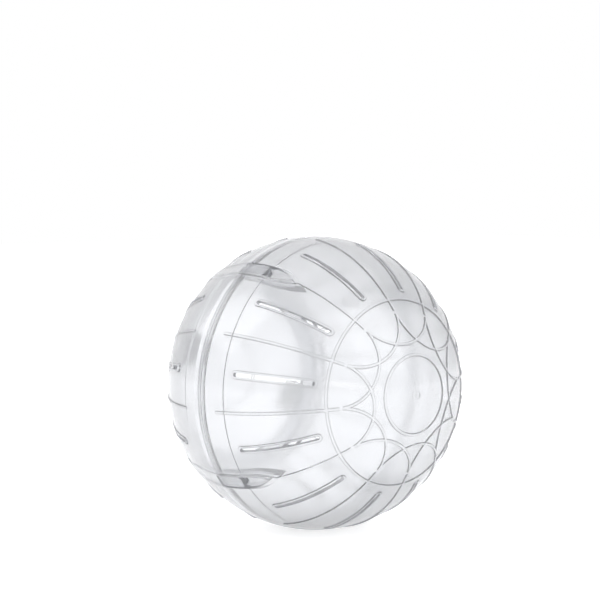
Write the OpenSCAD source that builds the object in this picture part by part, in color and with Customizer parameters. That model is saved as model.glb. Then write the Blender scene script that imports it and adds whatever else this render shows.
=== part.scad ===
// Hamster exercise ball: two clear half shells that snap together, and a round lid in one of them.
// The pole line of the ball lies along X. The front half is at +X, the half with the lid at -X.
// Origin at the centre of the ball, +Z up, sizes in millimetres and angles in degrees.
// Each piece is first drawn with the pole line upright, then laid along X.

/* [Ball] */
// Outer radius of the ball
ball_r = 70; // [60:1:90]
// Thickness of the moulded wall
wall = 1.6; // [1.3:0.1:2.2]
// Thickness of the belt where the two halves meet
belt_t = 3; // [2.8:0.1:3.6]
// Turn of the rib pattern about the pole line
turn_deg = 6.4; // [0:0.1:30]

/* [Ribs] */
// Number of ribs that run from the belt towards the pole
rib_count = 12; // [8:4:16]
// Width of a rib, a ring or an arch
rib_w = 1.3; // [1:0.1:2]
// How far a rib, a rim or an arch stands out from the wall
rib_h = 0.5; // [0.3:0.1:0.8]
// Latitude where the ribs of the front half begin, near the belt
rib_low_deg = 8; // [5:0.5:12]
// Latitude where the ribs of the rear half begin
rib_lid_low_deg = 9.5; // [5:0.5:12]
// Latitude where the front ribs end in the arches
rib_top_deg = 57; // [54:0.5:60]
// Latitude of the front ring that crosses the ribs
ring_deg = 52.3; // [51:0.1:54]
// Latitude of the middle of each arch
arch_deg = 52.9; // [52:0.1:54]
// Latitude of the ring round each pole
pole_ring_deg = 74.9; // [73:0.1:78]

/* [Vents] */
// Width of a vent slot
vent_w = 1.9; // [1.5:0.1:2.5]
// Width of the raised rim on each side of a vent slot
vent_rim_w = 1.2; // [0.9:0.1:1.5]
// Latitude of the rim's end that is nearest the belt
vent_low_deg = 15.3; // [14:0.1:17]
// Latitude of the rim's end that is nearest the pole, in the front half
vent_high_deg = 49.1; // [46:0.1:49.5]
// Distance from the hole for the lid to the rims of the rear vents, square to the pole line
vent_lid_gap = 2.6; // [2.2:0.1:8]

/* [Seam] */
// Length of the collar on the front half that plugs into the rear half
collar_len = 2.5; // [2:0.1:3.5]
// Thickness of the collar
collar_t = 1.5; // [1.2:0.1:1.7]
// Sliding gap between the collar and its rebate
collar_gap = 0.1; // [0.05:0.01:0.2]

/* [Snap tongues] */
// Number of snap tongues round the seam
snap_count = 4; // [2:1:4]
// Width of a tongue
tongue_w = 6.4; // [5:0.1:7]
// How far a tongue reaches past the seam
tongue_len = 12.7; // [11:0.1:15]
// Thickness of a tongue
tongue_t = 2.5; // [2:0.1:3]
// Gap between a tongue and what it lies in
tongue_gap = 0.3; // [0.2:0.05:0.5]
// Length of the barb at the tip of a tongue
barb_len = 1.6; // [1.2:0.1:2]
// How far the barb reaches behind its ridge
barb_bite = 0.7; // [0.5:0.1:1]
// Length of a clip housing from the seam to its nose
housing_len = 31.8; // [28:0.1:34]
// Thickness of the walls of a clip housing
housing_t = 1; // [0.8:0.1:1.3]

/* [Lid] */
// Radius of the lid at its edge
lid_r = 46.1; // [44:0.1:46.5]
// Gap round the lid and under it
lid_gap = 0.3; // [0.2:0.05:0.5]
// Width of the ledge that the lid sits on
ledge_w = 6.4; // [6:0.1:7]
// Thickness of the ledge
ledge_t = 1.7; // [1.4:0.1:2.2]

/* [Lid catches] */
// Width of a finger window in the lid
window_w = 13.4; // [12.5:0.1:15]
// Height of a finger window, measured square to the pole line
window_h = 7.5; // [7:0.1:8]
// Width of a catch
catch_w = 12; // [10:0.1:12]
// Thickness of the upright leaf of a catch
catch_leaf_t = 1.4; // [1:0.1:1.6]
// Thickness of the foot of a catch
catch_foot_t = 1.2; // [1:0.1:1.5]
// How far the foot reaches under the ledge
catch_bite = 0.6; // [0.4:0.1:0.8]
// Thickness of the cheek at each end of a window
cheek_t = 1.3; // [1:0.1:1.6]

/* [Hidden] */
$fn = 96;
// A cut runs past the face that it opens by this much
overrun = 1;
// What stands out or in from the wall is rooted this deep in it
root = 0.5;
// How far the collar is rooted in the belt
collar_root = 1;
// The rebate is deeper than the collar by this much
collar_end_gap = 0.2;
// Corner cut at the tip of a tongue
tip_chamfer = 1.2;
// Play between the barb and the ridge along the pole line, and the ridge's own length
barb_play = 0.3;
ridge_len = 1.6;
// Gap between the foot of a catch and the underside of the ledge
foot_gap = 0.3;
// Slope at the end of the foot that lets the lid be pushed home
foot_slope = 1;
// Depth of the flat pad that carries a catch, below the lid's inner face at the catch's corners
pad_drop = 0.5;
// How much wider than the leaf the pad is, towards the pole line
pad_extra = 0.8;
// How far the cheeks reach into the ball, from the pad's face
cheek_len = 6.2;
// Radius and depth of the gate mark at each pole, and the radius of its boss inside
gate_r = 1.6;
gate_depth = 0.35;
gate_boss_r = 2.2;
// Number of straight edges along the outer side of a meridian plate, all of them outside the ball
plate_steps = 4;

rib_step = 360 / rib_count;
snap_step = 360 / snap_count;
wall_r = ball_r - wall;
belt_r = ball_r - belt_t;
relief_r = ball_r + rib_h;
relief_root_r = ball_r - root;
seat_r = wall_r + root;
far = relief_r + overrun;

collar_r = belt_r + collar_t;
rebate_r = collar_r + collar_gap;
rebate_len = collar_len + collar_end_gap;

// A clip housing is drawn along its length in shares of its length and of its half width.
housing_along_shares = [0, 0.55, 0.68, 0.8, 0.91, 1];
housing_wide_shares = [1, 1, 0.93, 0.72, 0.42, 0.05];
pocket_half_w = tongue_w / 2 + tongue_gap;
housing_half_w = pocket_half_w + housing_t;
pocket_len_share = 0.86;
tongue_r = ball_r - tongue_t;
ridge_r = tongue_r - tongue_gap;
barb_r = ridge_r - barb_bite;
floor_r = barb_r - tongue_gap;
housing_r = floor_r - housing_t;
ridge_z = tongue_len - barb_len - barb_play - ridge_len;

// The arches are circles on the ball that touch the ribs on either side of their own.
arch_off = 90 - arch_deg;
arch_spread = asin(sin(arch_off) * sin(rib_step));
arch_bury_deg = 5;
arch_sweep = 2 * (acos(tan(arch_spread) / tan(arch_off)) - arch_bury_deg);

hole_r = lid_r + lid_gap;
ledge_r = hole_r - ledge_w;
ledge_top_r = wall_r - lid_gap;
ledge_low_r = ledge_top_r - ledge_t;
ledge_out_r = hole_r + ledge_t;
vent_lid_deg = acos((hole_r + vent_lid_gap) / ball_r);

window_far = ledge_r + (window_h - ledge_w) + catch_bite + catch_bite / 2;
leaf_out = window_far - window_h;
leaf_in = leaf_out - catch_leaf_t;
catch_r = ledge_r + catch_bite;
pad_z = sqrt(pow(wall_r, 2) - pow(leaf_out, 2) - pow(catch_w / 2, 2)) - pad_drop;
foot_z = sqrt(pow(ledge_low_r, 2) - pow(catch_r, 2)) - foot_gap;

function az(lat, r) = [r * cos(lat), r * sin(lat)];

// Lays a piece that was drawn with its pole line upright along X, turned to the rib pattern.
module laid() {
  rotate([0, 90, 0])
    rotate([0, 0, turn_deg])
      children();
}

module at_ribs() {
  for (i = [0 : rib_count - 1])
    rotate([0, 0, i * rib_step])
      children();
}

module at_snap(i) {
  rotate([0, 0, rib_step + i * snap_step])
    children();
}

module at_snaps() {
  for (i = [0 : snap_count - 1])
    at_snap(i)
      children();
}

module at_window(i) {
  rotate([0, 0, 2 * rib_step + i * 180])
    children();
}

module upper_space() {
  translate([-far, -far, 0])
    cube([2 * far, 2 * far, far]);
}

module sphere_layer(r_in, r_out) {
  difference() {
    sphere(r = r_out);
    sphere(r = r_in);
  }
}

module tube(r_in, r_out, z_low, z_high) {
  translate([0, 0, z_low])
    difference() {
      cylinder(r = r_out, h = z_high - z_low);
      translate([0, 0, -overrun])
        cylinder(r = r_in, h = z_high - z_low + 2 * overrun);
    }
}

// A flat plate in the plane of a meridian, between two latitudes.
module meridian_plate(low, high, width) {
  step = (high - low) / plate_steps;
  rim = [for (i = [0 : plate_steps]) az(low + i * step, far + belt_t)];
  rotate([90, 0, 0])
    linear_extrude(height = width, center = true)
      polygon(concat([az(low, wall_r - belt_t)], rim, [az(high, wall_r - belt_t)]));
}

// A slot form of a given width with round ends, whose outline runs between two latitudes.
module vent_form(width, low, high) {
  end_deg = asin(width / 2 / ball_r);
  meridian_plate(low + end_deg, high - end_deg, width);
  for (lat = [low + end_deg, high - end_deg])
    rotate([0, 90 - lat, 0])
      translate([0, 0, wall_r - belt_t])
        cylinder(d = width, h = 2 * belt_t + wall);
}

module vent_rims(low, high) {
  rotate([0, 0, rib_step / 2])
    at_ribs()
      vent_form(vent_w + 2 * vent_rim_w, low, high);
}

module vent_slots(low, high) {
  trim = asin(vent_rim_w / ball_r);
  rotate([0, 0, rib_step / 2])
    at_ribs()
      vent_form(vent_w, low + trim, high - trim);
}

module ring_bead(lat) {
  r = ball_r * cos(lat);
  tube(r - rib_w / 2, r + rib_w / 2, ball_r * sin(lat) - belt_t, far);
}

module arch() {
  r = ball_r * sin(arch_spread);
  rotate([0, arch_off, 0])
    rotate([0, 0, 180 - arch_sweep / 2])
      rotate_extrude(angle = arch_sweep)
        translate([r - rib_w / 2, ball_r * cos(arch_spread) - belt_t])
          square([rib_w, 2 * belt_t]);
}

// The ribs, rings, arches, rims and clips that stand out from the front half.
module front_relief() {
  intersection() {
    sphere_layer(relief_root_r, relief_r);
    union() {
      at_ribs()
        meridian_plate(rib_low_deg, rib_top_deg, rib_w);
      ring_bead(ring_deg);
      ring_bead(pole_ring_deg);
      at_ribs()
        arch();
      vent_rims(vent_low_deg, vent_high_deg);
      housing_forms();
    }
  }
}

module rear_relief() {
  intersection() {
    sphere_layer(relief_root_r, relief_r);
    union() {
      at_ribs()
        meridian_plate(rib_lid_low_deg, acos(ledge_r / ball_r), rib_w);
      vent_rims(vent_low_deg, vent_lid_deg);
      housing_forms();
    }
  }
}

// The outline of a clip housing, from the seam at y = 0 to its nose.
module housing_outline(reach, half_w) {
  last = len(housing_along_shares) - 1;
  right = [for (i = [0 : last]) [half_w * housing_wide_shares[i], reach * housing_along_shares[i]]];
  left = [for (i = [last : -1 : 0]) [-half_w * housing_wide_shares[i], reach * housing_along_shares[i]]];
  polygon(concat(right, left));
}

// Stands a flat outline up at the belt: its x runs round the seam and its y towards the pole.
module stood_up() {
  rotate([90, 0, 90])
    linear_extrude(height = far)
      children();
}

module housing_forms() {
  at_snaps()
    stood_up()
      housing_outline(housing_len, housing_half_w);
}

// The part of the clip housings that swells into the ball.
module housings_inside() {
  intersection() {
    housing_forms();
    sphere_layer(housing_r, seat_r);
  }
}

module pocket() {
  difference() {
    union() {
      stood_up()
        housing_outline(housing_len * pocket_len_share, pocket_half_w);
      translate([0, -pocket_half_w, -collar_len - overrun])
        cube([far, 2 * pocket_half_w, collar_len + 2 * overrun]);
    }
    sphere(r = floor_r);
    intersection() {
      sphere(r = ridge_r);
      translate([0, -housing_half_w, ridge_z])
        cube([far, 2 * housing_half_w, ridge_len]);
    }
  }
}

module cavity() {
  intersection() {
    sphere(r = wall_r);
    cylinder(r = belt_r, h = 2 * far, center = true);
  }
}

module gate_mark() {
  translate([0, 0, ball_r - gate_depth])
    cylinder(r = gate_r, h = far);
}

module gate_boss() {
  translate([0, 0, wall_r - gate_depth])
    cylinder(r = gate_boss_r, h = wall);
}

module front_shell() {
  color("gainsboro")
    laid()
      difference() {
        union() {
          difference() {
            union() {
              intersection() {
                sphere(r = ball_r);
                upper_space();
              }
              translate([0, 0, -collar_len])
                cylinder(r = collar_r, h = collar_len + collar_root);
            }
            cavity();
          }
          front_relief();
          gate_boss();
          housings_inside();
        }
        vent_slots(vent_low_deg, vent_high_deg);
        at_snaps()
          pocket();
        gate_mark();
      }
}

module tongue_notch() {
  translate([0, -pocket_half_w, -overrun])
    cube([far, 2 * pocket_half_w, rebate_len + overrun]);
}

// Drawn with the rear pole up, then turned over.
module rear_shell() {
  color("gainsboro")
    laid()
      mirror([0, 0, 1])
        difference() {
          union() {
            difference() {
              intersection() {
                sphere(r = ball_r);
                upper_space();
              }
              cavity();
            }
            rear_relief();
            housings_inside();
            intersection() {
              sphere_layer(ledge_low_r, seat_r);
              tube(ledge_r, ledge_out_r, 0, far);
            }
          }
          vent_slots(vent_low_deg, vent_lid_deg);
          translate([0, 0, -overrun])
            cylinder(r = rebate_r, h = rebate_len + overrun);
          at_snaps()
            tongue_notch();
          difference() {
            cylinder(r = hole_r, h = far);
            sphere(r = ledge_top_r);
          }
        }
}

module snap_tongue(i) {
  half_w = tongue_w / 2;
  color("lightsteelblue")
    laid()
      at_snap(i)
        union() {
          intersection() {
            sphere_layer(tongue_r, ball_r);
            stood_up()
              polygon([
                [-half_w, -rebate_len],
                [half_w, -rebate_len],
                [half_w, tongue_len - tip_chamfer],
                [half_w - tip_chamfer, tongue_len],
                [tip_chamfer - half_w, tongue_len],
                [-half_w, tongue_len - tip_chamfer]
              ]);
          }
          intersection() {
            sphere_layer(barb_r, tongue_r + root);
            translate([0, tip_chamfer - half_w, tongue_len - barb_len])
              cube([far, tongue_w - 2 * tip_chamfer, barb_len]);
          }
        }
}

module lid() {
  color("whitesmoke")
    laid()
      mirror([0, 0, 1])
        difference() {
          union() {
            intersection() {
              sphere_layer(wall_r, ball_r);
              cylinder(r = lid_r, h = far);
            }
            intersection() {
              sphere_layer(relief_root_r, relief_r);
              ring_bead(pole_ring_deg);
            }
            gate_boss();
            for (i = [0 : 1])
              at_window(i)
                catch_mount();
          }
          for (i = [0 : 1])
            at_window(i)
              translate([leaf_out, -window_w / 2, 0])
                cube([window_h, window_w, far]);
          gate_mark();
        }
}

// The pad that carries a catch, and the cheeks at the ends of its window.
module catch_mount() {
  intersection() {
    sphere(r = seat_r);
    cylinder(r = ledge_r - lid_gap, h = far);
    union() {
      translate([leaf_in - pad_extra, -catch_w / 2, pad_z])
        cube([catch_leaf_t + pad_extra, catch_w, far]);
      for (side = [0 : 1])
        mirror([0, side, 0])
          translate([leaf_in, window_w / 2, pad_z - cheek_len])
            cube([far, cheek_t, far]);
    }
  }
}

module lid_catch(i) {
  color("lightsteelblue")
    laid()
      mirror([0, 0, 1])
        at_window(i)
          intersection() {
            rotate([90, 0, 0])
              linear_extrude(height = catch_w, center = true)
                polygon([
                  [leaf_in, foot_z - catch_foot_t],
                  [catch_r - foot_slope, foot_z - catch_foot_t],
                  [catch_r, foot_z],
                  [leaf_out, foot_z],
                  [leaf_out, pad_z],
                  [leaf_in, pad_z]
                ]);
            cylinder(r = catch_r, h = far);
          }
}

front_shell();
rear_shell();
snap_tongue(0);  // snap_tongue_1
snap_tongue(1);  // snap_tongue_2
snap_tongue(2);  // snap_tongue_3
snap_tongue(3);  // snap_tongue_4
lid();
lid_catch(0);  // lid_catch_1
lid_catch(1);  // lid_catch_2
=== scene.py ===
import math

import bmesh
import bpy
from mathutils import Matrix, Vector


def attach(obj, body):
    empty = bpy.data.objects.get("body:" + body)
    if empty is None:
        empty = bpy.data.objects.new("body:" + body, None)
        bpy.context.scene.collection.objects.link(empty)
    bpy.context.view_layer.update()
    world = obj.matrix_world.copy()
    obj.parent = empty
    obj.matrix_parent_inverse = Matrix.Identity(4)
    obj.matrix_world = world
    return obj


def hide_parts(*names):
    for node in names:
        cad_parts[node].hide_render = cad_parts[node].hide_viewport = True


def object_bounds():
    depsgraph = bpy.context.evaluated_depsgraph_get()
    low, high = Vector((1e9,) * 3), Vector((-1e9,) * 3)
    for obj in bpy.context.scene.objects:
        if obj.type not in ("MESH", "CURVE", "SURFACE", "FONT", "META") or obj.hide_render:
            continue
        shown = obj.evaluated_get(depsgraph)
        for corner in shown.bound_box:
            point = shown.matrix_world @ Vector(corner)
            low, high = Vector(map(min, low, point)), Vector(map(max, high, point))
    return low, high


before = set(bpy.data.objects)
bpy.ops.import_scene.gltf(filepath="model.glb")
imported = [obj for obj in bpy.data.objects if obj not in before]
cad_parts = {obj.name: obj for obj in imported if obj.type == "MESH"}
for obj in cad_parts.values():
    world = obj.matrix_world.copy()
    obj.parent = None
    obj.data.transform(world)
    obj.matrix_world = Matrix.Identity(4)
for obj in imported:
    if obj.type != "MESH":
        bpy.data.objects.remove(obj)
cad_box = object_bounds()

MM = 0.001

# Sizes of the mouldings, the same as in the part.
BALL_R = 70 * MM
WALL = 1.6 * MM
BELT = 3 * MM
TURN_DEG = 6.4
RIB_COUNT = 12
RIB_W = 1.3 * MM
RIB_H = 0.5 * MM
RIB_LOW, RIB_TOP = 8, 57
REAR_RIB_LOW = 9.5
RING_LAT = 52.3
ARCH_LAT = 52.9
POLE_RING_LAT = 74.9
VENT_W = 1.9 * MM
VENT_RIM_W = 1.2 * MM
VENT_LOW, VENT_HIGH = 15.3, 49.1
VENT_LID_GAP = 2.6 * MM
COLLAR_LEN = 2.5 * MM
COLLAR_T = 1.5 * MM
COLLAR_GAP = 0.1 * MM
COLLAR_END_GAP = 0.2 * MM
SNAP_COUNT = 4
TONGUE_W = 6.4 * MM
TONGUE_LEN = 12.7 * MM
TONGUE_T = 2.5 * MM
TONGUE_GAP = 0.3 * MM
TIP_CHAMFER = 1.2 * MM
BARB_LEN = 1.6 * MM
BARB_BITE = 0.7 * MM
BARB_PLAY = 0.3 * MM
RIDGE_LEN = 1.6 * MM
HOUSING_LEN = 31.8 * MM
HOUSING_T = 1 * MM
POCKET_SHARE = 0.86
LID_R = 46.1 * MM
LID_GAP = 0.3 * MM
LEDGE_W = 6.4 * MM
LEDGE_T = 1.7 * MM
WINDOW_W = 13.4 * MM
WINDOW_H = 7.5 * MM
CATCH_W = 12 * MM
CATCH_LEAF_T = 1.4 * MM
CATCH_FOOT_T = 1.2 * MM
CATCH_BITE = 0.6 * MM
CHEEK_T = 1.3 * MM
CHEEK_LEN = 6.2 * MM
PAD_DROP = 0.5 * MM
PAD_EXTRA = 0.8 * MM
FOOT_GAP = 0.3 * MM
FOOT_SLOPE = 1 * MM
GATE_R = 1.6 * MM
GATE_DEPTH = 0.35 * MM
GATE_BOSS_R = 2.2 * MM
ROOT = 0.5 * MM

# What only the finished look needs: soft edges, sloping flanks, and how finely round forms are cut.
LIP_ROUND = 0.15 * MM
PAD_ROUND = 0.3 * MM
BEAD_SPREAD = 0.18 * MM
BEAD_FLANK = 0.4 * MM
BEAD_ROUND = 0.08 * MM
BELT_STEP = 0.7 * MM
BELT_LIP = 1 * MM
OVERRUN = 2 * MM
HAIR = 0.02 * MM
MERGE = 0.002 * MM
STRIP = 1.5 * MM
TURN_STEPS = 240
CURVE_STEPS = 192
TRIM_STEPS = 96
SLOT_STEPS = 34
GATE_STEPS = 32
NUB_STEPS = 16
SHARP_DEG = 40
SMOOTH_DEG = 35

# The arches stop this many degrees of their own circle short of the ring.
ARCH_CUT_DEG = 10

# A rib on a clip begins at this share of the housing's length, inside its nose.
CLIP_RIB_SHARE = 0.95

rib_step = 360 / RIB_COUNT
clip_rib_low = math.degrees(math.asin(CLIP_RIB_SHARE * HOUSING_LEN / BALL_R))
snap_step = 360 / SNAP_COUNT
wall_r = BALL_R - WALL
belt_r = BALL_R - BELT
relief_r = BALL_R + RIB_H
collar_r = belt_r + COLLAR_T
rebate_r = collar_r + COLLAR_GAP
rebate_len = COLLAR_LEN + COLLAR_END_GAP
hole_r = LID_R + LID_GAP
vent_lid = math.degrees(math.acos((hole_r + VENT_LID_GAP) / BALL_R))
belt_lat = math.degrees(math.acos(belt_r / wall_r))
belt_in_r = wall_r - BELT_STEP
step_lat = belt_lat - math.degrees(BELT_STEP / belt_in_r)
ledge_r = hole_r - LEDGE_W
ledge_top_r = wall_r - LID_GAP
ledge_low_r = ledge_top_r - LEDGE_T
ledge_out_r = hole_r + LEDGE_T
pocket_half_w = TONGUE_W / 2 + TONGUE_GAP
housing_half_w = pocket_half_w + HOUSING_T
tongue_r = BALL_R - TONGUE_T
ridge_r = tongue_r - TONGUE_GAP
barb_r = ridge_r - BARB_BITE
floor_r = barb_r - TONGUE_GAP
housing_r = floor_r - HOUSING_T
ridge_at = TONGUE_LEN - BARB_LEN - BARB_PLAY - RIDGE_LEN
window_far = ledge_r + (WINDOW_H - LEDGE_W) + 1.5 * CATCH_BITE
leaf_out = window_far - WINDOW_H
leaf_in = leaf_out - CATCH_LEAF_T
catch_r = ledge_r + CATCH_BITE
pad_at = math.sqrt(wall_r ** 2 - leaf_out ** 2 - (CATCH_W / 2) ** 2) - PAD_DROP
foot_at = math.sqrt(ledge_low_r ** 2 - catch_r ** 2) - FOOT_GAP

# The camera stands where the photograph was taken from.
CAMERA_AZIMUTH = 48.2
CAMERA_ELEVATION = 6.2
CAMERA_DISTANCE = 13.72 * BALL_R
PHOTO_SIDE = 600
BALL_PIXEL = (314.8, 382.7)
FOCAL_PIXELS = 2006
SENSOR_MM = 36

# The plastic: how much it dims light for each metre that the light runs inside it, and in which colour.
POLYSTYRENE_IOR = 1.57
DEPTH_TINT = 2.5
DEPTH_COLOUR = (0.5, 0.55, 0.62, 1)
SHEEN_TINT = (0.88, 0.88, 0.93, 1)
SHELL_TINT = (0.972, 0.978, 0.992)
TONGUE_TINT = (0.93, 0.94, 0.96)

# Its surface: the noise scales of the flow waves, the fine skin and the haze from handling, the height of
# the waves, the skin's share of it, the least and the most haze, and the tone in the waves' hollows.
FLOW_SCALE = 26
SKIN_SCALE = 420
WEAR_SCALE = 60
WAVE_H = 0.3 * MM
SKIN_SHARE = 0.06
LEAST_HAZE = 0.11
MOST_HAZE = 0.19
FLOW_TONE = 0.97

# Painted shade: how much darker than the tint the edges are painted, standing in for the light that
# refraction turns away from them.
# Sloping flanks get all of that, and the upright walls of slots and pockets get a share of it.
PAINTED_EDGE_SHADE = 0.63
WALL_SHARE = 0.1

# How white the sides and the ceiling of the studio are beside its backdrop, the floor's own colour and the
# glow that it shows, and the light that falls from all round.
SIDE_WHITE = 0.78
CEILING_WHITE = 0.88
FLOOR_SIDE = 6
FLOOR_WHITE = 0.8
FLOOR_GLOW = 0.65
ROUND_LIGHT = (0.82, 0.825, 0.84, 1)

# How often light may bounce. Inside clear walls it needs many, or the walls turn dark.
BOUNCES = 24
GLOSSY_BOUNCES = 16


# Modelling


def only(piece):
    """Selects one piece and nothing else."""
    bpy.ops.object.select_all(action="DESELECT")
    piece.select_set(True)
    bpy.context.view_layer.objects.active = piece


def started(name):
    """Names the primitive that was just added and puts its place into its mesh."""
    piece = bpy.context.object
    piece.name = piece.data.name = name
    only(piece)
    bpy.ops.object.transform_apply()
    return piece


def turned(piece, degrees, axis="Z"):
    piece.data.transform(Matrix.Rotation(math.radians(degrees), 4, axis))
    return piece


def copies(piece, count, step):
    """The piece and its copies, each turned about the pole line by one step more."""
    found = [piece]
    for i in range(1, count):
        other = piece.copy()
        other.data = piece.data.copy()
        bpy.context.collection.objects.link(other)
        found.append(turned(other, i * step))
    return found


def fuse(piece, others, operation="UNION"):
    """Joins, cuts or crosses the piece with the others, which are used up."""
    tools = bpy.data.collections.new("tools")
    bpy.context.scene.collection.children.link(tools)
    for other in others:
        for collection in list(other.users_collection):
            collection.objects.unlink(other)
        tools.objects.link(other)
    only(piece)
    fusing = piece.modifiers.new("fuse", "BOOLEAN")
    fusing.operand_type = "COLLECTION"
    fusing.collection = tools
    fusing.operation = operation
    fusing.solver = "MANIFOLD"
    bpy.ops.object.modifier_apply(modifier=fusing.name)
    for other in others:
        bpy.data.objects.remove(other)
    bpy.data.collections.remove(tools)
    return piece


def cut(piece, others):
    return fuse(piece, others, "DIFFERENCE")


def softened(piece, width, segments=2):
    """Rounds every sharp edge."""
    only(piece)
    rounding = piece.modifiers.new("rounding", "BEVEL")
    rounding.width = width
    rounding.segments = segments
    rounding.limit_method = "ANGLE"
    rounding.angle_limit = math.radians(SHARP_DEG)
    bpy.ops.object.modifier_apply(modifier=rounding.name)
    return piece


def arc(radius, low, high):
    """Points (distance from the pole line, height) from one latitude to another."""
    steps = max(2, round(abs(high - low) * TURN_STEPS / 360))
    angles = [math.radians(low + (high - low) * i / steps) for i in range(steps + 1)]
    return [(radius * math.cos(a), radius * math.sin(a)) for a in angles]


def lat_at(radius, distance):
    """Latitude where a sphere is at a given distance from the pole line."""
    return math.degrees(math.acos(distance / radius))


def lat_of(radius, height):
    """Latitude where a sphere reaches a given height."""
    return math.degrees(math.asin(height / radius))


def lathe(name, profile):
    """Spins a closed profile about the pole line."""
    bpy.ops.mesh.primitive_circle_add(vertices=len(profile))
    piece = started(name)
    for vertex, (distance, height) in zip(piece.data.vertices, profile):
        vertex.co = (distance, 0, height)
    bpy.ops.object.mode_set(mode="EDIT")
    bpy.ops.mesh.select_all(action="SELECT")
    bpy.ops.mesh.spin(steps=TURN_STEPS, angle=2 * math.pi, center=(0, 0, 0), axis=(0, 0, 1))
    bpy.ops.mesh.select_all(action="SELECT")
    bpy.ops.mesh.remove_doubles(threshold=MERGE)
    bpy.ops.mesh.dissolve_degenerate(threshold=MERGE)
    bpy.ops.mesh.normals_make_consistent(inside=False)
    bpy.ops.object.mode_set(mode="OBJECT")
    return piece


def bead(half_angle, sweep=360):
    """A raised bead with sloping flanks, along a circle at that angle from the pole, or a sweep of it."""
    half_w = RIB_W / 2 + BEAD_SPREAD
    top_w = half_w - BEAD_FLANK
    profile = [(half_w, BALL_R - ROOT), (half_w, BALL_R), (top_w + BEAD_ROUND, relief_r - BEAD_ROUND)]
    profile.append((top_w - BEAD_ROUND, relief_r))
    profile += [(-across, out) for across, out in reversed(profile)]
    a = math.radians(half_angle)
    fill = "NOTHING" if sweep == 360 else "NGON"
    bpy.ops.mesh.primitive_circle_add(vertices=len(profile), fill_type=fill)
    piece = started("bead")
    for vertex, (across, out) in zip(piece.data.vertices, profile):
        vertex.co = (out * math.sin(a) + across * math.cos(a), 0, out * math.cos(a) - across * math.sin(a))
    bpy.ops.object.mode_set(mode="EDIT")
    bpy.ops.mesh.select_all(action="SELECT")
    steps = round(TURN_STEPS * sweep / 360)
    bpy.ops.mesh.spin(steps=steps, angle=-math.radians(sweep), center=(0, 0, 0), axis=(0, 0, 1))
    bpy.ops.mesh.select_all(action="SELECT")
    bpy.ops.mesh.remove_doubles(threshold=MERGE)
    bpy.ops.mesh.normals_make_consistent(inside=False)
    bpy.ops.object.mode_set(mode="OBJECT")
    return piece


def ring(latitude):
    return bead(90 - latitude)


def rib(low, high):
    """A rib along a meridian, from one latitude to another."""
    return turned(turned(bead(90, high - low), 90, "X"), -low, "Y")


def ribs(low, high):
    """All ribs of one half. Those on the clips begin in the nose of the clip's housing."""
    found = []
    for i in range(RIB_COUNT):
        on_clip = (i - 1) * SNAP_COUNT % RIB_COUNT == 0
        found.append(turned(rib(clip_rib_low if on_clip else low, high), i * rib_step))
    return found


def arches():
    """Twelve arches that cross each other on the way from rib to rib."""
    off = 90 - ARCH_LAT
    spread = math.asin(math.sin(math.radians(off)) * math.sin(math.radians(rib_step)))
    sweep = 2 * math.degrees(math.acos(math.tan(spread) / math.tan(math.radians(off)))) - ARCH_CUT_DEG
    arch = bead(math.degrees(spread), sweep)
    return copies(turned(turned(arch, 180 - sweep / 2), off, "Y"), RIB_COUNT, rib_step)


def long_hole(name, radius, low, high, length, chamfer=0):
    """A long form with round ends and a sloping upper edge, cut across in strips so that it can be bent."""
    piece = cylinder(name, radius, low, high, SLOT_STEPS)
    bpy.ops.object.mode_set(mode="EDIT")
    mesh = bmesh.from_edit_mesh(piece.data)
    for side in (-1, 1):
        bpy.ops.mesh.select_all(action="DESELECT")
        for vertex in mesh.verts:
            vertex.select_set(vertex.co.y * side > 0)
        bpy.ops.transform.translate(value=(0, side * length / 2, 0))
    if chamfer:
        bpy.ops.mesh.select_all(action="DESELECT")
        for edge in mesh.edges:
            edge.select_set(all(v.co.z > high - HAIR for v in edge.verts))
        bpy.ops.mesh.bevel(offset=chamfer, segments=1, affect="EDGES")
    reach = length / 2 + radius
    for i in range(1, round(2 * reach / STRIP)):
        bpy.ops.mesh.select_all(action="SELECT")
        bpy.ops.mesh.bisect(plane_co=(0, i * STRIP - reach + HAIR, 0), plane_no=(0, 1, 0))
    bpy.ops.object.mode_set(mode="OBJECT")
    return piece


def bent_on_meridian(piece, latitude):
    """Lays a flat form on the ball: y runs along the meridian, and z stands out."""
    for vertex in piece.data.vertices:
        x, y, z = vertex.co
        a = math.radians(latitude) + y / BALL_R
        flat = math.sqrt((BALL_R + z) ** 2 - x * x)
        vertex.co = (flat * math.cos(a), x, flat * math.sin(a))
    return piece


def vents(high):
    """The rims round the vents of one half, and the slots that open them."""
    middle = (VENT_LOW + high) / 2
    length = math.radians(high - VENT_LOW) * BALL_R - VENT_W - 2 * VENT_RIM_W
    rim = long_hole("vent_rim", VENT_W / 2 + VENT_RIM_W, -ROOT, RIB_H, length, BEAD_FLANK)
    slot = long_hole("vent_slot", VENT_W / 2, -BELT, BELT, length)
    for form in (rim, slot):
        turned(bent_on_meridian(form, middle), rib_step / 2)
    return copies(rim, RIB_COUNT, rib_step), copies(slot, RIB_COUNT, rib_step)


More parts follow.
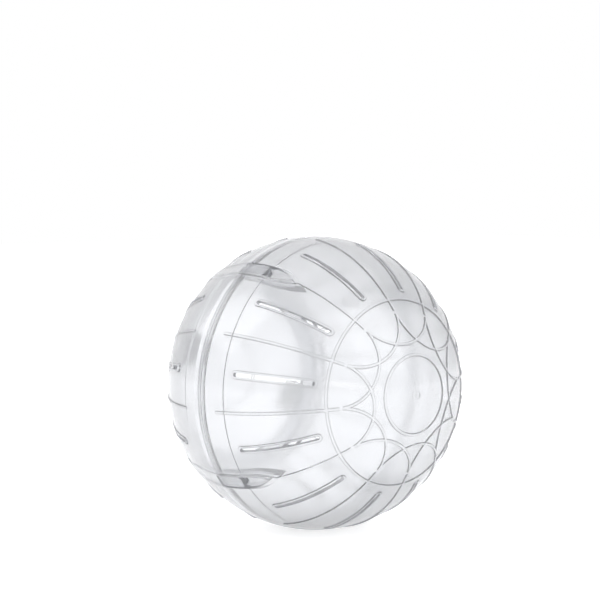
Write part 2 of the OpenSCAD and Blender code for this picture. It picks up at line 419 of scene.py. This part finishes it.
def pad(name, outline, low_r, high_r, rounding=0):
    """A pad on the ball between two radii. Its outline has x round the seam and y towards the pole."""
    bpy.ops.mesh.primitive_cylinder_add(vertices=len(outline), end_fill_type="NGON")
    piece = started(name)
    for i, (x, y) in enumerate(outline):
        piece.data.vertices[2 * i].co = (x, y, low_r)
        piece.data.vertices[2 * i + 1].co = (x, y, high_r)
    bpy.ops.object.mode_set(mode="EDIT")
    bpy.ops.mesh.select_all(action="SELECT")
    bpy.ops.mesh.normals_make_consistent(inside=False)
    if rounding:
        bpy.ops.mesh.select_all(action="DESELECT")
        mesh = bmesh.from_edit_mesh(piece.data)
        for edge in mesh.edges:
            edge.select_set(all(v.co.z > high_r - HAIR for v in edge.verts))
        bpy.ops.mesh.bevel(offset=rounding, segments=2, affect="EDGES")
    xs, ys = [x for x, y in outline], [y for x, y in outline]
    for axis, low, high in (((1, 0, 0), min(xs), max(xs)), ((0, 1, 0), min(ys), max(ys))):
        steps = max(1, round((high - low) / STRIP))
        for i in range(1, steps):
            at = low + (high - low) * i / steps + HAIR
            bpy.ops.mesh.select_all(action="SELECT")
            bpy.ops.mesh.bisect(plane_co=[at * a for a in axis], plane_no=axis)
    bpy.ops.object.mode_set(mode="OBJECT")
    for vertex in piece.data.vertices:
        x, y, z = vertex.co
        vertex.co = (math.sqrt(z * z - x * x - y * y), x, y)
    return piece


def block(name, low, high):
    """A box between two corners."""
    low, high = Vector(low), Vector(high)
    bpy.ops.mesh.primitive_cube_add(size=1, location=(low + high) / 2, scale=high - low)
    return started(name)


def boat(reach, half_w):
    """The outline of a clip's housing: straight sides from the seam, then a long curved nose."""
    straight, nose_steps, nose_power, tip_share = 0.55, 14, 2.05, 0.05
    right = [(half_w, 0)]
    for i in range(nose_steps + 1):
        s = i / nose_steps
        width = half_w * (1 - (1 - tip_share) * s ** nose_power)
        right.append((width, reach * (straight + (1 - straight) * s)))
    return right + [(-x, y) for x, y in reversed(right)]


def rectangle(half_w, low, high):
    return [(half_w, low), (half_w, high), (-half_w, high), (-half_w, low)]


def at_snaps(piece):
    """The piece and its copies, one on each clip."""
    return copies(turned(piece, rib_step), SNAP_COUNT, snap_step)


def housings():
    return at_snaps(pad("housing", boat(HOUSING_LEN, housing_half_w), housing_r, relief_r, PAD_ROUND))


def laid(piece, rear=False):
    """Lays a piece that was made with its pole up along X. The rear ones are mirrored first."""
    if rear:
        piece.data.transform(Matrix.Scale(-1, 4, (0, 0, 1)))
        piece.data.flip_normals()
    turned(piece, TURN_DEG)
    return turned(piece, 90, "Y")


def cylinder(name, radius, low, high, steps=TURN_STEPS):
    bpy.ops.mesh.primitive_cylinder_add(
        vertices=steps, radius=radius, depth=high - low, location=(0, 0, (low + high) / 2)
    )
    return started(name)


def gate_boss():
    """The boss inside a pole."""
    return cylinder("gate_boss", GATE_BOSS_R, wall_r - GATE_DEPTH, wall_r + ROOT, GATE_STEPS)


def gate_mark():
    """The shallow dimple outside a pole, as a cutter."""
    return cylinder("gate", GATE_R, BALL_R - GATE_DEPTH, BALL_R + OVERRUN, GATE_STEPS)


# Pieces


def front_shell():
    lip_lat = lat_of(belt_in_r, 2 * BELT_LIP)
    profile = [(collar_r, 0)] + arc(BALL_R, 0, 90) + arc(wall_r, 90, belt_lat)
    profile += arc(belt_in_r, step_lat, lip_lat)
    profile += [(belt_r, BELT_LIP), (belt_r, -COLLAR_LEN), (collar_r, -COLLAR_LEN)]
    shell = softened(lathe("front_half", profile), LIP_ROUND)
    rims, slots = vents(VENT_HIGH)
    raised = [ring(RING_LAT), ring(POLE_RING_LAT)] + rims + arches() + housings()
    fuse(shell, raised + ribs(RIB_LOW, RIB_TOP) + [gate_boss()])
    pocket = boat(HOUSING_LEN * POCKET_SHARE, pocket_half_w)
    pockets = at_snaps(pad("pocket", pocket, floor_r, relief_r + OVERRUN))
    entry = block(
        "entry", (housing_r - OVERRUN, -pocket_half_w, -COLLAR_LEN - OVERRUN),
        (relief_r + OVERRUN, pocket_half_w, ROOT),
    )
    cut(shell, slots + pockets + at_snaps(entry) + [gate_mark()])
    ridge = pad(
        "ridge", rectangle(pocket_half_w + TONGUE_GAP, ridge_at, ridge_at + RIDGE_LEN),
        floor_r - ROOT, ridge_r, LIP_ROUND,
    )
    nub = cylinder("nub", GATE_R / 3, BALL_R - WALL / 2, BALL_R - GATE_DEPTH / 2, NUB_STEPS)
    return laid(fuse(shell, at_snaps(ridge) + [nub]))


def rear_shell():
    profile = [(rebate_r, 0)] + arc(BALL_R, 0, lat_at(BALL_R, hole_r))
    profile += arc(ledge_top_r, lat_at(ledge_top_r, hole_r), lat_at(ledge_top_r, ledge_r))
    profile += arc(ledge_low_r, lat_at(ledge_low_r, ledge_r), lat_at(ledge_low_r, ledge_out_r))
    profile += arc(wall_r, lat_at(wall_r, ledge_out_r), belt_lat)
    profile += arc(belt_in_r, step_lat, lat_of(belt_in_r, rebate_len + 2 * BELT_LIP))
    profile += [(belt_r, rebate_len + BELT_LIP), (belt_r, rebate_len), (rebate_r, rebate_len)]
    shell = softened(lathe("rear_half", profile), LIP_ROUND)
    rims, slots = vents(vent_lid)
    raised = rims + housings()
    for piece in ribs(REAR_RIB_LOW, lat_at(BALL_R, ledge_r)):
        raised.append(cut(piece, [cylinder("trim", hole_r, 0, relief_r + OVERRUN, TRIM_STEPS)]))
    fuse(shell, raised)
    notch = block(
        "notch", (housing_r - OVERRUN, -pocket_half_w, -OVERRUN),
        (relief_r + OVERRUN, pocket_half_w, rebate_len),
    )
    cut(shell, slots + at_snaps(notch) + [cylinder("rebate", rebate_r, -OVERRUN, rebate_len)])
    return laid(shell, rear=True)


def snap_tongue(i):
    """A tongue with a pointed tip, and the barb inside it that grips the ridge."""
    half_w = TONGUE_W / 2
    outline = [
        (half_w, HAIR - rebate_len), (half_w, TONGUE_LEN - TIP_CHAMFER),
        (half_w - TIP_CHAMFER, TONGUE_LEN), (TIP_CHAMFER - half_w, TONGUE_LEN),
        (-half_w, TONGUE_LEN - TIP_CHAMFER), (-half_w, HAIR - rebate_len),
    ]
    tongue = pad(f"tongue_{i + 1}", outline, tongue_r, BALL_R, PAD_ROUND)
    barb = pad(
        "barb", rectangle(half_w - TIP_CHAMFER, TONGUE_LEN - BARB_LEN, TONGUE_LEN - HAIR),
        barb_r, tongue_r + ROOT,
    )
    fuse(tongue, [softened(barb, LIP_ROUND)])
    return laid(turned(tongue, rib_step + i * snap_step))


def at_windows(piece):
    return copies(turned(piece, 2 * rib_step), 2, 180)


def lid():
    edge_out, edge_in = lat_at(BALL_R, LID_R), lat_at(wall_r, LID_R)
    cap = softened(lathe("lid_cap", arc(BALL_R, edge_out, 90) + arc(wall_r, 90, edge_in)), LIP_ROUND)
    bpy.ops.mesh.primitive_uv_sphere_add(
        segments=TRIM_STEPS, ring_count=TRIM_STEPS // 2, radius=wall_r + ROOT
    )
    reach = started("reach")
    fuse(reach, [cylinder("column", ledge_r - LID_GAP, 0, BALL_R, TRIM_STEPS)], "INTERSECT")
    half_w = CATCH_W / 2
    seats = [block("seat", (leaf_in - PAD_EXTRA, -half_w, pad_at), (leaf_out, half_w, BALL_R))]
    for low in (WINDOW_W / 2, -WINDOW_W / 2 - CHEEK_T):
        seats.append(block("cheek", (leaf_in, low, pad_at - CHEEK_LEN), (BALL_R, low + CHEEK_T, BALL_R)))
    mounts = fuse(seats[0], seats[1:])
    fuse(mounts, [reach], "INTERSECT")
    fuse(cap, at_windows(mounts) + [ring(POLE_RING_LAT), gate_boss()])
    window = block("window", (leaf_out, -WINDOW_W / 2, 0), (window_far, WINDOW_W / 2, BALL_R + OVERRUN))
    cut(cap, at_windows(window) + [gate_mark()])
    return laid(cap, rear=True)


def lid_catch(i):
    """The springy leaf of a catch and its foot, which hooks under the ledge."""
    side = [
        (leaf_in, foot_at - CATCH_FOOT_T), (catch_r - FOOT_SLOPE, foot_at - CATCH_FOOT_T),
        (catch_r, foot_at), (leaf_out, foot_at), (leaf_out, pad_at - HAIR), (leaf_in, pad_at - HAIR),
    ]
    bpy.ops.mesh.primitive_cylinder_add(vertices=len(side), end_fill_type="NGON")
    catch = started(f"catch_{i + 1}")
    for k, (x, z) in enumerate(side):
        catch.data.vertices[2 * k].co = (x, -CATCH_W / 2, z)
        catch.data.vertices[2 * k + 1].co = (x, CATCH_W / 2, z)
    only(catch)
    bpy.ops.object.mode_set(mode="EDIT")
    bpy.ops.mesh.select_all(action="SELECT")
    bpy.ops.mesh.normals_make_consistent(inside=False)
    bpy.ops.object.mode_set(mode="OBJECT")
    fuse(catch, [cylinder("curve", catch_r, 0, BALL_R, CURVE_STEPS)], "INTERSECT")
    softened(catch, LIP_ROUND)
    return laid(turned(catch, 2 * rib_step + i * 180), rear=True)


# Finishes


def link(tree, source, target):
    tree.links.new(source, target)


def noise(tree, place, scale, detail):
    """Noise that stays with the piece."""
    texture = tree.nodes.new("ShaderNodeTexNoise")
    texture.inputs["Scale"].default_value = scale
    texture.inputs["Detail"].default_value = detail
    link(tree, place.outputs["Object"], texture.inputs["Vector"])
    return texture.outputs[0]


def calculated(tree, operation, *terms):
    """A Math node whose terms are sockets or numbers."""
    node = tree.nodes.new("ShaderNodeMath")
    node.operation = operation
    for socket, term in zip(node.inputs, terms):
        if isinstance(term, (int, float)):
            socket.default_value = term
        else:
            link(tree, term, socket)
    return node.outputs[0]


def ranged(tree, value, low, high, to_low=0, to_high=1, smooth=False):
    """The node that maps a value from one range to another, held at both ends."""
    node = tree.nodes.new("ShaderNodeMapRange")
    if smooth:
        node.interpolation_type = "SMOOTHSTEP"
    ends = {"From Min": low, "From Max": high, "To Min": to_low, "To Max": to_high}
    for name, end in ends.items():
        node.inputs[name].default_value = end
    link(tree, value, node.inputs["Value"])
    return node


def mixed(tree, kind, share, first, second):
    """The second colour mixed over the first by a share, which is a socket or a number."""
    node = tree.nodes.new("ShaderNodeMix")
    node.data_type = "RGBA"
    node.blend_type = kind
    if isinstance(share, float):
        node.inputs[0].default_value = share
    else:
        link(tree, share, node.inputs[0])
    link(tree, first, node.inputs[6])
    link(tree, second, node.inputs[7])
    return node.outputs[2]


def moulded_surface_group():
    """What every clear moulding shows: edges greyed with painted shade, flow waves, a fine skin, and haze
    from handling.
    """
    group = bpy.data.node_groups.new("moulded_surface", "ShaderNodeTree")
    for name, kind, value in (
        ("Tint", "NodeSocketColor", (1, 1, 1, 1)), ("Edge Tint", "NodeSocketColor", (1, 1, 1, 1)),
        ("Haze", "NodeSocketFloat", 0.05), ("Waves", "NodeSocketFloat", 1.0),
    ):
        socket = group.interface.new_socket(name=name, in_out="INPUT", socket_type=kind)
        socket.default_value = value
    for name, kind in (
        ("Color", "NodeSocketColor"), ("Roughness", "NodeSocketFloat"), ("Height", "NodeSocketFloat"),
    ):
        group.interface.new_socket(name=name, in_out="OUTPUT", socket_type=kind)
    given = group.nodes.new("NodeGroupInput")
    out = group.nodes.new("NodeGroupOutput")
    place = group.nodes.new("ShaderNodeTexCoord")

    flow = noise(group, place, FLOW_SCALE, 1.5)
    skin = noise(group, place, SKIN_SCALE, 2)
    wear = noise(group, place, WEAR_SCALE, 5)
    waves = calculated(group, "MULTIPLY", flow, given.outputs["Waves"])
    height = calculated(group, "MULTIPLY_ADD", skin, SKIN_SHARE, waves)
    link(group, height, out.inputs["Height"])

    haze = ranged(group, wear, 0.35, 0.75, LEAST_HAZE)
    link(group, given.outputs["Haze"], haze.inputs["To Max"])
    link(group, haze.outputs[0], out.inputs["Roughness"])

    outwards = group.nodes.new("ShaderNodeVectorMath")
    outwards.operation = "NORMALIZE"
    link(group, place.outputs["Object"], outwards.inputs[0])
    facing = group.nodes.new("ShaderNodeVectorMath")
    facing.operation = "DOT_PRODUCT"
    link(group, outwards.outputs[0], facing.inputs[0])
    link(group, place.outputs["Normal"], facing.inputs[1])
    flatness = calculated(group, "ABSOLUTE", facing.outputs["Value"])
    # Painted shade mask: all of it on sloping flanks, a share on upright walls and none on the open wall,
    # where the edge colour is painted darker.
    edge_shade_mask = group.nodes.new("ShaderNodeValToRGB")
    first, last = edge_shade_mask.color_ramp.elements
    first.color = (WALL_SHARE, WALL_SHARE, WALL_SHARE, 1)
    last.color = (0, 0, 0, 1)
    last.position = 0.95
    for at, share in ((0.25, WALL_SHARE), (0.42, 1), (0.75, 1)):
        edge_shade_mask.color_ramp.elements.new(at).color = (share, share, share, 1)
    link(group, flatness, edge_shade_mask.inputs[0])
    edges = mixed(group, "MIX", edge_shade_mask.outputs[0], given.outputs["Tint"], given.outputs["Edge Tint"])
    tone = ranged(group, flow, 0, 1, FLOW_TONE)
    link(group, mixed(group, "MULTIPLY", 1.0, edges, tone.outputs[0]), out.inputs["Color"])
    return group


def clear_plastic(name, group, tint, clear, haze, waves):
    """Clear moulded polystyrene."""
    material = bpy.data.materials.new(name)
    material.use_nodes = True
    tree = material.node_tree
    body = tree.nodes["Principled BSDF"]
    body.inputs["Transmission Weight"].default_value = clear
    body.inputs["IOR"].default_value = POLYSTYRENE_IOR
    body.inputs["Sheen Weight"].default_value = 0.45
    body.inputs["Sheen Roughness"].default_value = 0.35
    body.inputs["Sheen Tint"].default_value = SHEEN_TINT
    depth = tree.nodes.new("ShaderNodeVolumeAbsorption")
    depth.inputs["Color"].default_value = DEPTH_COLOUR
    depth.inputs["Density"].default_value = DEPTH_TINT
    link(tree, depth.outputs[0], tree.nodes["Material Output"].inputs["Volume"])
    surface = tree.nodes.new("ShaderNodeGroup")
    surface.node_tree = group
    surface.inputs["Tint"].default_value = (*tint, 1)
    # Painted shade: the edges get the tint darkened, standing in for light that refraction turns away from
    # them.
    surface.inputs["Edge Tint"].default_value = (*(PAINTED_EDGE_SHADE * share for share in tint), 1)
    surface.inputs["Haze"].default_value = haze
    surface.inputs["Waves"].default_value = waves
    bump = tree.nodes.new("ShaderNodeBump")
    bump.inputs["Strength"].default_value = 0.25
    bump.inputs["Distance"].default_value = WAVE_H
    link(tree, surface.outputs["Color"], body.inputs["Base Color"])
    link(tree, surface.outputs["Roughness"], body.inputs["Roughness"])
    link(tree, surface.outputs["Height"], bump.inputs["Height"])
    link(tree, bump.outputs[0], body.inputs["Normal"])
    return material


def dressed(piece, node, body, material):
    """Finishes a piece, and puts it on its body in place of the part's node."""
    only(piece)
    bpy.ops.object.shade_smooth_by_angle(angle=math.radians(SMOOTH_DEG))
    evening = piece.modifiers.new("evening", "WEIGHTED_NORMAL")
    evening.keep_sharp = True
    bpy.ops.object.modifier_apply(modifier=evening.name)
    piece.data.materials.clear()
    piece.data.materials.append(material)
    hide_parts(node)
    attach(piece, body)


# Studio


def set_up_camera():
    a, e = math.radians(CAMERA_AZIMUTH), math.radians(CAMERA_ELEVATION)
    back = Vector((math.sin(a) * math.cos(e), -math.cos(a) * math.cos(e), math.sin(e)))
    right = Vector((math.cos(a), math.sin(a), 0))
    up = back.cross(right)
    metres_per_pixel = CAMERA_DISTANCE / FOCAL_PIXELS
    off_right = (PHOTO_SIDE / 2 - BALL_PIXEL[0]) * metres_per_pixel
    off_up = (BALL_PIXEL[1] - PHOTO_SIDE / 2) * metres_per_pixel
    place = back * CAMERA_DISTANCE
    bpy.ops.object.camera_add(location=place)
    camera = bpy.context.object
    aim = right * off_right + up * off_up
    camera.rotation_euler = (aim - place).to_track_quat("-Z", "Y").to_euler()
    camera.data.sensor_width = SENSOR_MM
    camera.data.lens = FOCAL_PIXELS * SENSOR_MM / PHOTO_SIDE
    camera.data.clip_start = 0.01
    bpy.context.scene.camera = camera


def shown_as_background(tree):
    """1 on rays that look at the studio, straight or by way of the plastic."""
    path = tree.nodes.new("ShaderNodeLightPath")
    found = path.outputs["Is Camera Ray"]
    for ray in ("Is Glossy Ray", "Is Transmission Ray"):
        found = calculated(tree, "MAXIMUM", found, path.outputs[ray])
    return found


def white_studio():
    """A white backdrop with dimmer sides and ceiling, which give edges in clear plastic their grey lines."""
    world = bpy.data.worlds.new("studio")
    bpy.context.scene.world = world
    world.use_nodes = True
    tree = world.node_tree
    tree.nodes.clear()
    place = tree.nodes.new("ShaderNodeTexCoord")
    towards = tree.nodes.new("ShaderNodeVectorMath")
    towards.operation = "DOT_PRODUCT"
    a = math.radians(CAMERA_AZIMUTH)
    towards.inputs[1].default_value = (-math.sin(a), math.cos(a), 0)
    link(tree, place.outputs["Generated"], towards.inputs[0])
    sides = ranged(tree, towards.outputs["Value"], 0.2, 0.95, SIDE_WHITE, 1, smooth=True)
    split = tree.nodes.new("ShaderNodeSeparateXYZ")
    link(tree, place.outputs["Generated"], split.inputs[0])
    ceiling = ranged(tree, split.outputs["Z"], 0.2, 0.8, 1, CEILING_WHITE, smooth=True)
    both = calculated(tree, "MULTIPLY", sides.outputs[0], ceiling.outputs[0])
    lamp = tree.nodes.new("ShaderNodeBackground")
    lamp.inputs["Color"].default_value = ROUND_LIGHT
    backdrop = tree.nodes.new("ShaderNodeBackground")
    link(tree, both, backdrop.inputs["Strength"])
    plain = tree.nodes.new("ShaderNodeBackground")
    for white in (backdrop, plain):
        white.inputs["Color"].default_value = (1, 1, 1, 1)
    by_plastic = tree.nodes.new("ShaderNodeMixShader")
    by_camera = tree.nodes.new("ShaderNodeMixShader")
    path = tree.nodes.new("ShaderNodeLightPath")
    link(tree, shown_as_background(tree), by_plastic.inputs[0])
    link(tree, lamp.outputs[0], by_plastic.inputs[1])
    link(tree, backdrop.outputs[0], by_plastic.inputs[2])
    link(tree, path.outputs["Is Camera Ray"], by_camera.inputs[0])
    link(tree, by_plastic.outputs[0], by_camera.inputs[1])
    link(tree, plain.outputs[0], by_camera.inputs[2])
    out = tree.nodes.new("ShaderNodeOutputWorld")
    link(tree, by_camera.outputs[0], out.inputs["Surface"])


def white_floor():
    bpy.ops.mesh.primitive_plane_add(size=FLOOR_SIDE, location=(0, 0, cad_box[0].z))
    floor = bpy.context.object
    floor.name = "floor"
    material = bpy.data.materials.new("floor_white")
    material.use_nodes = True
    tree = material.node_tree
    body = tree.nodes["Principled BSDF"]
    body.inputs["Base Color"].default_value = (FLOOR_WHITE, FLOOR_WHITE, FLOOR_WHITE, 1)
    body.inputs["Roughness"].default_value = 0.9
    body.inputs["Specular IOR Level"].default_value = 0.0
    glow = tree.nodes.new("ShaderNodeEmission")
    link(tree, calculated(tree, "MULTIPLY", shown_as_background(tree), FLOOR_GLOW), glow.inputs["Strength"])
    add = tree.nodes.new("ShaderNodeAddShader")
    link(tree, body.outputs[0], add.inputs[0])
    link(tree, glow.outputs[0], add.inputs[1])
    link(tree, add.outputs[0], tree.nodes["Material Output"].inputs["Surface"])
    floor.data.materials.append(material)


def softbox(name, place, size, watts):
    bpy.ops.object.light_add(type="AREA", location=place)
    lamp = bpy.context.object
    lamp.name = name
    lamp.data.shape = "RECTANGLE"
    lamp.data.size, lamp.data.size_y = size
    lamp.data.energy = watts
    lamp.rotation_euler = (-Vector(place)).to_track_quat("-Z", "Y").to_euler()


bpy.context.scene.view_settings.view_transform = "Standard"
bpy.context.scene.cycles.max_bounces = BOUNCES
bpy.context.scene.cycles.glossy_bounces = GLOSSY_BOUNCES
bpy.context.scene.cycles.transmission_bounces = BOUNCES
set_up_camera()
white_studio()
white_floor()
softbox("softbox_left", (-0.9, -0.9, 1.1), (1.5, 1.2), 6.5)
softbox("softbox_right", (1.2, 0.3, 0.9), (1.0, 1.4), 4)

moulded = moulded_surface_group()
shell_plastic = clear_plastic("clear_shell", moulded, SHELL_TINT, 0.87, MOST_HAZE, 1.0)
tongue_plastic = clear_plastic("clear_tongue", moulded, TONGUE_TINT, 0.85, MOST_HAZE, 1.4)
lid_plastic = clear_plastic("clear_lid", moulded, SHELL_TINT, 0.87, MOST_HAZE, 0.8)

dressed(front_shell(), "front_shell", "front_half", shell_plastic)
dressed(rear_shell(), "rear_shell", "rear_half", shell_plastic)
dressed(lid(), "lid", "lid", lid_plastic)
for i in range(SNAP_COUNT):
    dressed(snap_tongue(i), f"snap_tongue_{i + 1}", f"tongue_{i + 1}", tongue_plastic)
for i in range(2):
    dressed(lid_catch(i), f"lid_catch_{i + 1}", f"catch_{i + 1}", lid_plastic)
